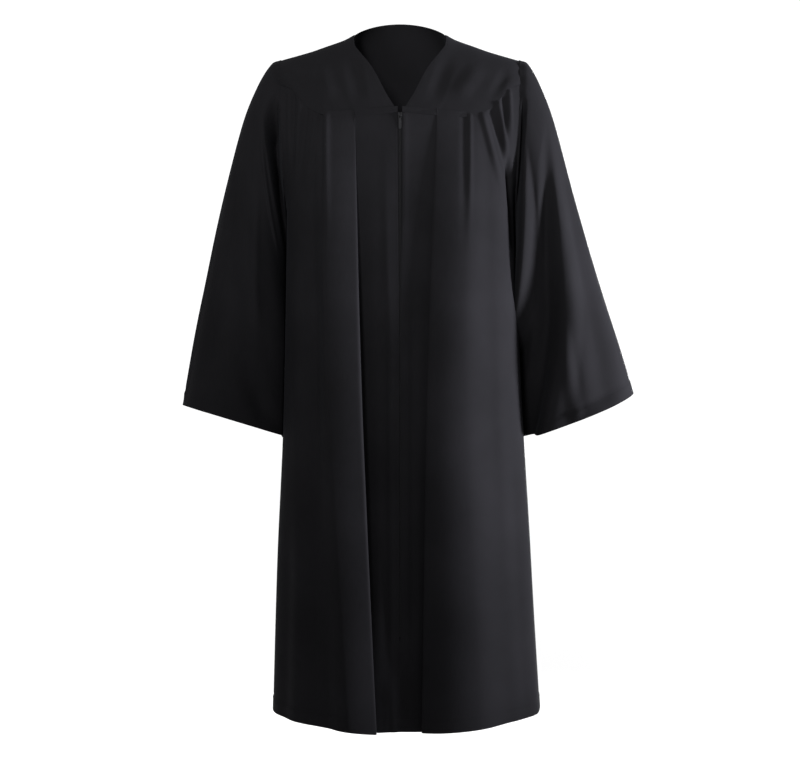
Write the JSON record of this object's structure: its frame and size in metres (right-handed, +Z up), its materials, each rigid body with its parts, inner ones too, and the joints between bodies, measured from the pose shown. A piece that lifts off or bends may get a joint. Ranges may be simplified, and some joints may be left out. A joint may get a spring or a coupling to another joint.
{
  "type": "graduation gown",
  "caption": "Plain matte graduation gown in its worn hollow form, with a V neck, a yoke, pleated zip front, fluted back and wide bell sleeves.",
  "frame": {"origin": "centre of the neck opening, level with the side-neck points where the yoke lies on the shoulders", "axes": "+Z up, +X to the viewer's right when the front is seen, -Y out of the front"},
  "size_m": [0.83, 0.3997, 1.2893],
  "materials": {
    "gown_cloth": "matte woven polyester, black",
    "zip_tape": "woven zip tape, black",
    "zip_metal": "satin black-lacquered metal"
  },
  "bodies": {
    "gown": {"front_left": "gown_cloth", "front_right": "gown_cloth", "back": "gown_cloth", "yoke_front_left": "gown_cloth", "yoke_front_right": "gown_cloth", "yoke_back": "gown_cloth", "sleeve_left": "gown_cloth", "sleeve_right": "gown_cloth", "zip_tape_left": "zip_tape", "zip_tape_right": "zip_tape", "zip_slider": "zip_metal"},
    "zip_pull": {"zip_pull": "zip_metal"}
  },
  "joints": [
    {"name": "zip_pull_swing", "type": "hinge", "parent": "gown", "child": "zip_pull", "pos_m": [0, -0.12098, -0.16735], "axis": [-1, 0, 0], "range_deg": [0, 170]}
  ]
}
